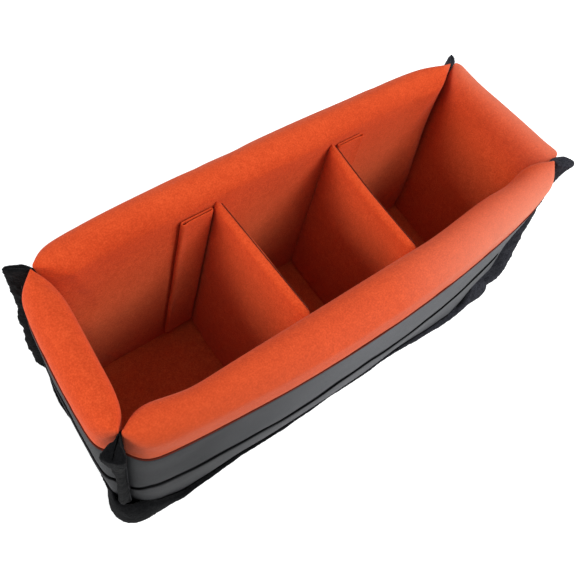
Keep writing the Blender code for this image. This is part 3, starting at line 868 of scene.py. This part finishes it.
def build_floor():
    low_corner, high_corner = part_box("floor_lining")
    half_x, half_y = (high_corner.x - low_corner.x) / 2, (high_corner.y - low_corner.y) / 2
    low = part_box("floor_stiffener")[0].z
    profile = ((low, 0.001), (low + 0.001, 0), *FLOOR_EDGE)
    rings = []
    for height, inset in profile:
        for step in range(FLOOR_STEPS):
            turn = 2 * math.pi * step / FLOOR_STEPS
            cosine, sine = math.cos(turn), math.sin(turn)
            x = math.copysign(abs(cosine) ** FLOOR_CORNER_POWER, cosine) * (half_x + FLOOR_SPREAD - inset)
            y = math.copysign(abs(sine) ** FLOOR_CORNER_POWER, sine) * (half_y + FLOOR_SPREAD - inset)
            rings.append((x, y, height))
    piece = new_piece("floor_pad", rings, ring_faces(len(profile), FLOOR_STEPS), ORANGE)
    nodes = ("floor_lining", "floor_foam", "floor_stiffener")
    finish_piece(piece, "insert", "orange_loop_lining", *nodes)


def pan_line(edge_share, inset, draw, height=None):
    """A closed line around the walls' feet, drawn outward by an amount that is full only near the corners."""
    sides = []
    boots = [corner["boot"] for corner in CORNERS.values()]
    for wall in WALLS.values():
        widest = 1 - mix(PAN_CORNER_RUN, PAN_TOP_RUN, edge_share**3) / wall.reach[0]
        share = np.linspace(-widest, widest, PAN_STATIONS[wall.long])
        fall = (widest - np.abs(share)) * wall.reach[0] / PAN_CORNER_FALL
        near = np.exp(-fall * fall)
        edge = mix(PAN_MID_HEIGHT, np.where(share < 0, boots[len(sides) - 1], boots[len(sides)]), near)
        level = mix(PAN_ROUND, edge, edge_share) if height is None else np.full_like(share, height)
        here = wall.faces(share, level)[1]
        middle = wall.faces(np.zeros_like(share), level)[1]
        outer = mix(here, np.maximum(here, middle), PAN_STRAIGHT_SHARE * (1 - edge_share**2))
        offset = outer + FIT_GAP + BASE_CLOTH - inset + near * draw * 0.5
        sides.append(wall.place(share, level, offset, level))
    points = []
    for index, corner in enumerate(CORNERS.values()):
        start, end = sides[index][-1], sides[(index + 1) % 4][0]
        signs = np.array((corner["x"], corner["y"]))
        pull = PAN_CORNER_PULL * (1 - 0.62 * edge_share**2) * np.array(corner["pull"])
        far = np.maximum(start[:2] * signs, end[:2] * signs) + pull + draw
        pull = np.append(signs * far, (start[2] + end[2]) / 2)
        points.extend(sides[index])
        for share in np.linspace(0, 1, 34)[1:-1]:
            rest = 1 - share
            points.append(rest * rest * start + 2 * share * rest * pull + share * share * end)
    return points


def build_base_cover():
    """The pan's under side, full boots and drawn-in upper edge, then down inside to its floor."""
    rings = [pan_line(0, PAN_ROUND + PAN_CAP_INSET, -2 * PAN_TUCK_UNDER, 0)]
    rings.append(pan_line(0, PAN_ROUND, -PAN_TUCK_UNDER, 0))
    for turn in (0.35, 0.7):
        inset = PAN_ROUND * (1 - math.sin(turn * math.pi / 2))
        rise = PAN_ROUND * (1 - math.cos(turn * math.pi / 2))
        rings.append(pan_line(0, inset, -PAN_TUCK_UNDER * (1 - turn), rise))
    edges = np.linspace(0, 1, 21)
    draws = [PAN_BULGE * math.sin(math.pi * min(edge / 0.7, 1)) - PAN_DRAW * edge**3 for edge in edges]
    rings += [pan_line(edge, 0, draw) for edge, draw in zip(edges, draws)]
    rings += [pan_line(edge, BASE_CLOTH, draw) for edge, draw in zip(edges[::-2], draws[::-2])]
    rings.append(pan_line(0, BASE_CLOTH, 0, BASE_CLOTH))
    rings.append(pan_line(0, BASE_CLOTH + PAN_CAP_INSET, -PAN_TUCK_UNDER, BASE_CLOTH))
    count = len(rings[0])
    verts = [point for ring in rings for point in ring]
    piece = new_piece("base_cover_pan", verts, ring_faces(len(rings), count), PILE)
    roughen(piece, (0.016, 0.0006, 21), (0.0022, 0.00030, 22), (0.0009, 0.00028, 23))
    flatten_below(piece)
    finish_piece(piece, "insert", "black_brushed_cloth", "base_cover")


def flatten_below(piece):
    """Keeps a resting piece on the floor."""
    for vertex in piece.data.vertices:
        vertex.co.z = max(vertex.co.z, 0.00005)


# Ears


def ear_points(corner, out, across, height):
    """Points beside a corner seam: out along the diagonal, across at right angles to it."""
    up = height / HEIGHT
    x, y = corner["x"], corner["y"]
    lean = EAR_LEAN * corner["lean"] * (np.maximum(out, 0) / EAR_REACH) ** 2
    diagonal = math.sqrt(1 / 2)
    world_x = x * mix(FOOT_SEAM_LENGTH, SEAM_LENGTH, up) / 2 + diagonal * x * (out + lean - across * x * y)
    world_y = y * mix(FOOT_SEAM_WIDTH, SEAM_WIDTH, up) / 2 + diagonal * y * (out - lean + across * x * y)
    return np.stack((world_x, world_y, height), axis=-1)


def ear_ring(corner, share, inset, shrink=1.0, slit=1.0, rise=0.0):
    """One level of the folded cloth: a root in the seam, a belly and a round fold."""
    ups, reaches, widths = zip(*corner["ear"])
    reach = EAR_REACH * np.interp(share, ups, reaches) * mix(0.6, 1, shrink) - inset
    half = EAR_HALF_WIDTH * np.interp(share, ups, widths) * shrink - inset
    spread = corner["spread"] * float(smooth_step(share, 0.6, 1.0))
    notch = 0.9 * (EAR_SHOULDER + EAR_NOTCH)
    outs = [-EAR_ROOT_DEPTH if inset == 0 else 0]
    acrosses = [FIT_GAP]
    for along, full, wide in FOLD_OUTLINE:
        outs.append(mix(EAR_SHOULDER, reach, along))
        acrosses.append(min(half * mix(full, wide, spread), notch if along == 0 else 1))
    outs = np.array(outs + outs[-2::-1])
    acrosses = slit * np.array(acrosses + [-across for across in acrosses[-2::-1]])
    top = HEIGHT - EAR_TOP_DROP * corner["drop"]
    droop = EAR_DROOP * corner["droop"] * np.maximum(outs, 0) / EAR_REACH * share**4
    return ear_points(corner, outs, acrosses, mix(corner["foot"], top, share) - droop + rise)


def build_ear(name, corner):
    """A corner's folded cloth, pinched almost shut over its pocket."""
    top = HEIGHT - EAR_TOP_DROP * corner["drop"]
    pocket_share = EAR_POCKET / (top - corner["foot"])
    rings = []
    for up in np.linspace(0, 1, 10):
        rings.append(ear_ring(corner, 1 - pocket_share * (1 - up), EAR_CLOTH, mix(0.45, 1, up**0.5), 0.03))
    rings.append(ear_ring(corner, 1, EAR_CLOTH * 0.8, 1, 0.1, -0.0006))
    rings.append(ear_ring(corner, 1, EAR_CLOTH * 0.4, 1, 0.6, 0.0006))
    for share in np.linspace(1, 0, EAR_LEVELS):
        rings.append(ear_ring(corner, share, 0))
    count = len(rings[0])
    verts = np.concatenate(rings)
    creases = np.stack([field(verts, 0.020, seed) for seed in (31, 32, 33)], axis=-1)
    pleats = field(verts * np.array((1, 1, 0.15)), 0.0045, 37)
    verts = verts + creases * np.array(EAR_CREASES)
    verts = verts + pleats[:, None] * np.array((corner["x"], corner["y"], 0)) * EAR_PLEATS
    piece = new_piece(name + "_ear_fold", verts, ring_faces(len(rings), count), PILE)
    subdivide(piece, 1)
    apply_modifiers(piece)
    roughen(piece, (0.008, 0.0008, 34), (0.0026, 0.00040, 35), (0.0009, 0.00028, 36))
    finish_piece(piece, "insert", "black_brushed_cloth", name + "_ear")
    build_ear_stitches(name, corner)


def build_ear_stitches(name, corner):
    """Two rows of stitches that close the fold beside the seam."""
    starts, ends = [], []
    for height in np.arange(*STITCH_LEVELS, STITCH_PITCH):
        share = (height - corner["foot"]) / (HEIGHT - corner["foot"])
        low, high = (ear_ring(corner, at, -FIT_GAP) for at in (share, share + STITCH_SHARE))
        for index in (3, -4):
            starts.append(low[index])
            ends.append(high[index])
    verts, faces = stitch_mesh(starts, ends, STITCH_RADIUS)
    piece = new_piece(name + "_ear_stitches", verts, faces, GREY_THREAD)
    finish_piece(piece, "insert", "black_brushed_cloth")


# Dividers and tabs


def divider_middle(top_x, lean, height):
    return top_x - lean * (DIVIDER_TOP - height) / (DIVIDER_TOP - FLOOR_TOP)


def between_walls(height):
    """The Y of the front and of the back wall's inner face at a divider."""
    return [WALLS[name].middle_face(np.array(height)) for name in ("front", "back")]


def divider_ring(top_x, lean, height, inset, fullness):
    """A level of a divider: flat sides that crown in the middle, round ends against the long walls."""
    front, back = between_walls(height)
    front, back = front + FIT_GAP + inset * 0.5, back - FIT_GAP - inset * 0.5
    turns = np.linspace(-1, 1, DIVIDER_STATIONS)
    runs = np.sin(turns * np.pi / 2)
    crown = DIVIDER_CROWN * (1 - runs**2) ** 2 * fullness
    half = (DIVIDER_HALF - inset + crown) * (1 - np.abs(runs) ** 18) ** 0.5
    half = np.maximum(half, 0.0004)
    y = mix(front, back, (runs + 1) / 2)
    middle = divider_middle(top_x, lean, height)
    right = [(middle + across, place, height) for across, place in zip(half, y)]
    return right + [(middle - across, place, height) for across, place in zip(half[::-1], y[::-1])]


def turned(name, y, height):
    """How far a divider's front top corner has gone over to the left."""
    along = np.sin(np.pi / 2 * np.clip((DIVIDER_REACH - y) / (2 * DIVIDER_REACH), 0, 1))
    return DIVIDER_TURN[name] * along * smooth_step(height, DIVIDER_TURN_LEVEL, DIVIDER_TOP)


def build_divider(name, top_x, lean):
    """A padded panel, a little fuller than its flat solid, with the sleeve's closing seam along its top."""
    rings = []
    foot = FLOOR_TOP + FIT_GAP
    shoulder = DIVIDER_TOP - DIVIDER_HALF
    for up in np.linspace(0, 1, 26):
        fullness = math.sin(math.pi * mix(0.12, 0.93, up)) ** 0.5
        rings.append(divider_ring(top_x, lean, mix(foot, shoulder, up), 0, fullness))
    for turn in np.radians((15, 32, 49, 65, 80)):
        fullness = math.sin(math.pi * 0.93) ** 0.5 * math.cos(turn)
        height = shoulder + DIVIDER_HALF * math.sin(turn)
        rings.append(divider_ring(top_x, lean, height, DIVIDER_HALF * (1 - math.cos(turn)), fullness))
    count = len(rings[0])
    verts = np.array([point for ring in rings for point in ring])
    verts[:, 0] += field(verts, 0.035, 41) * 0.0003
    verts[:, 0] -= turned(name, verts[:, 1], verts[:, 2])
    verts[:, 2] += field(verts, 0.030, 42) * 0.0004 * smooth_step(verts[:, 2], 0.1, DIVIDER_TOP)
    piece = new_piece(name + "_pad", verts, ring_faces(len(rings), count), ORANGE)
    seams = (0, DIVIDER_STATIONS - 1, DIVIDER_STATIONS, count - 1)
    ends = [index for index in range(len(verts)) if index % count in seams or index < count]
    settle(piece, ends, DIVIDER_SWELL_CAP)
    subdivide(piece, 2)
    finish_piece(piece, name, "orange_loop_lining", name + "_cover", name + "_foam")
    line = []
    height = DIVIDER_TOP - 0.0002
    for run in np.linspace(0.04, 0.96, 40):
        y = mix(*between_walls(height), run)
        line.append((top_x + DIVIDER_HALF * 0.5 - turned(name, y, height), y, height))
    seam, faces = tube(line, TOP_SEAM_RADIUS)
    finish_piece(new_piece(name + "_top_seam", seam, faces, RED_THREAD), name, "orange_loop_lining")


def tab_loop(inset):
    """The flattened sleeve of a tab seen from above, from its crease round to the bead at its free edge."""
    loop = []
    radius = TAB_HALF - inset
    for turn in np.radians(np.linspace(90, 270, 7)):
        loop.append((radius * math.cos(turn), radius * math.sin(turn)))
    for run in (0.004, 0.008, 0.012, 0.016):
        loop.append((run, -radius))
    bead = TAB_BEAD - inset
    lift = TAB_BEAD - TAB_HALF
    for turn in np.radians(np.linspace(-90, 120, 11)):
        loop.append((TAB_WIDTH - TAB_BEAD + bead * math.cos(turn), lift + bead * math.sin(turn)))
    for run in (0.0155, 0.012, 0.008, 0.004):
        loop.append((run, radius))
    return loop


def build_tab(divider, end, top_x, lean, side):
    """A hook tab as a flattened sleeve of cloth, open at its top, folded back along the long wall."""
    wall = WALLS[end]
    top = TAB_TOP if end == "back" else FRONT_TAB_TOP
    outer, inner = tab_loop(0), tab_loop(TAB_LAYER)
    levels = [(height, outer) for height in np.linspace(TAB_FOOT, top - 0.0004, 40)]
    levels += [(top, tab_loop(TAB_LAYER * 0.35)), (top, tab_loop(TAB_LAYER * 0.7))]
    levels += [(height, inner) for height in np.linspace(top - 0.0005, top - TAB_SLOT_DEPTH, 12)]
    rings = []
    for height, loop in levels:
        x = divider_middle(top_x, lean, height) + side * TAB_CREASE
        y = wall.middle_face(np.array(height)) - wall.outward[1] * TAB_STANDOFF
        rings += [(x + side * run, y - wall.outward[1] * off, height) for run, off in loop]
    verts = np.array(rings)
    crease = divider_middle(top_x, lean, verts[:, 2]) + side * TAB_CREASE
    free = smooth_step(np.abs(verts[:, 0] - crease), *TAB_FREE_RUN)
    verts[:, 1] -= wall.outward[1] * np.abs(field(verts, 0.022, 51)) * 0.0003 * free
    verts[:, 0] += side * field(verts, 0.030, 52) * 0.0005 * free
    tab = divider + "_" + end + "_tab"
    piece = new_piece(tab + "_flap", verts, ring_faces(len(levels), len(outer)), ORANGE)
    subdivide(piece, 1)
    finish_piece(piece, tab + "_body", "orange_loop_lining", tab)


for wall in WALLS.values():
    build_pad(wall)
    build_shell(wall)
    edge_line = LINING_EDGE - EDGE_SEAM_DROP
    build_line(wall, "edge_seam", edge_line, -EDGE_SEAM_PROUD, RED_THREAD, "orange_loop_lining")
    # The tuck's near-black thread lies in the crevice as a seam and as painted shade
    tuck_line = tuck_height(wall, stations(wall, SHELL_STATIONS[wall.long])) + TUCK_SEAM_RISE
    build_line(wall, "tuck_seam_shade", tuck_line, 0.0, TUCK_SHADE_THREAD, "grey_coated_nylon")
build_floor()
build_base_cover()
for corner_name, corner in CORNERS.items():
    build_ear(corner_name, corner)
for divider_name, (top_x, lean, side) in DIVIDERS.items():
    build_divider(divider_name, top_x, lean)
    for end in ("back", "front"):
        build_tab(divider_name, end, top_x, lean, side)
for name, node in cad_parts.items():
    if name.endswith("_hook"):
        node.data.materials.clear()
        node.data.materials.append(HOOK)


# Stage

SKY_COLOUR = (0.92, 0.98, 1.0, 1)
SKY_STRENGTH = 0.46
FLOOR_GLOW = 0.62
FLOOR_HALF = 4

# Each lamp's name, place, size and power
LAMPS = (
    ("key", (0.55, -0.91, 1.16), (1.1, 0.6), 18.5),
    ("low_side", (-1.31, 0.48, 0.66), (0.6, 0.6), 15),
    ("edge", (1.40, -0.25, 0.52), (0.6, 0.4), 4),
)
LAMP_TARGET = (0, 0, 0.1)

# The camera as fitted to the photo, whose frame is square
CAMERA_PLACE = (-0.20863, -0.14332, 0.46688)
CAMERA_BACK = (-0.42948, -0.30271, 0.85083)
CAMERA_AZIMUTH = -54.823
CAMERA_ROLL = 19.684
FOCAL_PIXELS = 700.34
FRAME_PIXELS = 576.0
SENSOR_WIDTH = 36.0


def light(name, place, size, power):
    lamp = bpy.data.lights.new(name, "AREA")
    lamp.shape = "RECTANGLE"
    lamp.size, lamp.size_y = size
    lamp.energy = power
    made = add_object(name, lamp)
    made.location = place
    made.rotation_euler = (Vector(LAMP_TARGET) - Vector(place)).to_track_quat("-Z", "Y").to_euler()


def bright_for_view(tree, surface, output_socket, kind, strength, over_surface=False):
    """Shows plain white, alone or over the surface, to the camera, gloss and glass, and no other rays."""
    path = tree.nodes.new("ShaderNodeLightPath")
    seen = path.outputs["Is Camera Ray"]
    for ray in ("Is Glossy Ray", "Is Transmission Ray"):
        either = tree.nodes.new("ShaderNodeMath")
        either.operation = "MAXIMUM"
        tree.links.new(seen, either.inputs[0])
        tree.links.new(path.outputs[ray], either.inputs[1])
        seen = either.outputs[0]
    mixer = tree.nodes.new("ShaderNodeMixShader")
    tree.links.new(seen, mixer.inputs["Fac"])
    tree.links.new(surface, mixer.inputs[1])
    white = tree.nodes.new(kind)
    white.inputs["Color"].default_value = (1, 1, 1, 1)
    white.inputs["Strength"].default_value = strength
    shown = white.outputs[0]
    if over_surface:
        add = tree.nodes.new("ShaderNodeAddShader")
        tree.links.new(shown, add.inputs[0])
        tree.links.new(surface, add.inputs[1])
        shown = add.outputs[0]
    tree.links.new(shown, mixer.inputs[2])
    tree.links.new(mixer.outputs[0], output_socket)


def build_stage():
    scene = bpy.context.scene
    scene.view_settings.view_transform = "Standard"
    world = bpy.data.worlds.new("studio")
    scene.world = world
    world.use_nodes = True
    tree = world.node_tree
    background = tree.nodes["Background"]
    background.inputs["Color"].default_value = SKY_COLOUR
    background.inputs["Strength"].default_value = SKY_STRENGTH
    output = tree.nodes["World Output"].inputs["Surface"]
    bright_for_view(tree, background.outputs[0], output, "ShaderNodeBackground", 1.0)

    mesh = bpy.data.meshes.new("studio_floor")
    corners = [(x * FLOOR_HALF, y * FLOOR_HALF, 0) for x, y in ((-1, -1), (1, -1), (1, 1), (-1, 1))]
    mesh.from_pydata(corners, [], [(0, 1, 2, 3)])
    floor = add_object("studio_floor", mesh)
    paint = bpy.data.materials.new("studio_floor")
    paint.use_nodes = True
    tree = paint.node_tree
    shader = tree.nodes["Principled BSDF"]
    shader.inputs["Base Color"].default_value = (0.75, 0.75, 0.75, 1)
    shader.inputs["Roughness"].default_value = 0.9
    shader.inputs["Specular IOR Level"].default_value = 0.1
    output = tree.nodes["Material Output"].inputs["Surface"]
    bright_for_view(tree, shader.outputs[0], output, "ShaderNodeEmission", FLOOR_GLOW, True)
    mesh.materials.append(paint)

    for lamp in LAMPS:
        light(*lamp)


def build_camera():
    data = bpy.data.cameras.new("camera")
    data.sensor_width = SENSOR_WIDTH
    data.sensor_fit = "HORIZONTAL"
    data.lens = FOCAL_PIXELS * SENSOR_WIDTH / FRAME_PIXELS
    camera = add_object("camera", data)
    azimuth, roll = math.radians(CAMERA_AZIMUTH), math.radians(CAMERA_ROLL)
    back = Vector(CAMERA_BACK).normalized()
    level = Vector((math.cos(azimuth), math.sin(azimuth), 0))
    up = back.cross(level)
    right = level * math.cos(roll) + up * math.sin(roll)
    above = up * math.cos(roll) - level * math.sin(roll)
    turn = Matrix((right, above, back)).transposed().to_4x4()
    camera.matrix_world = Matrix.Translation(CAMERA_PLACE) @ turn
    bpy.context.scene.camera = camera


build_stage()
build_camera()
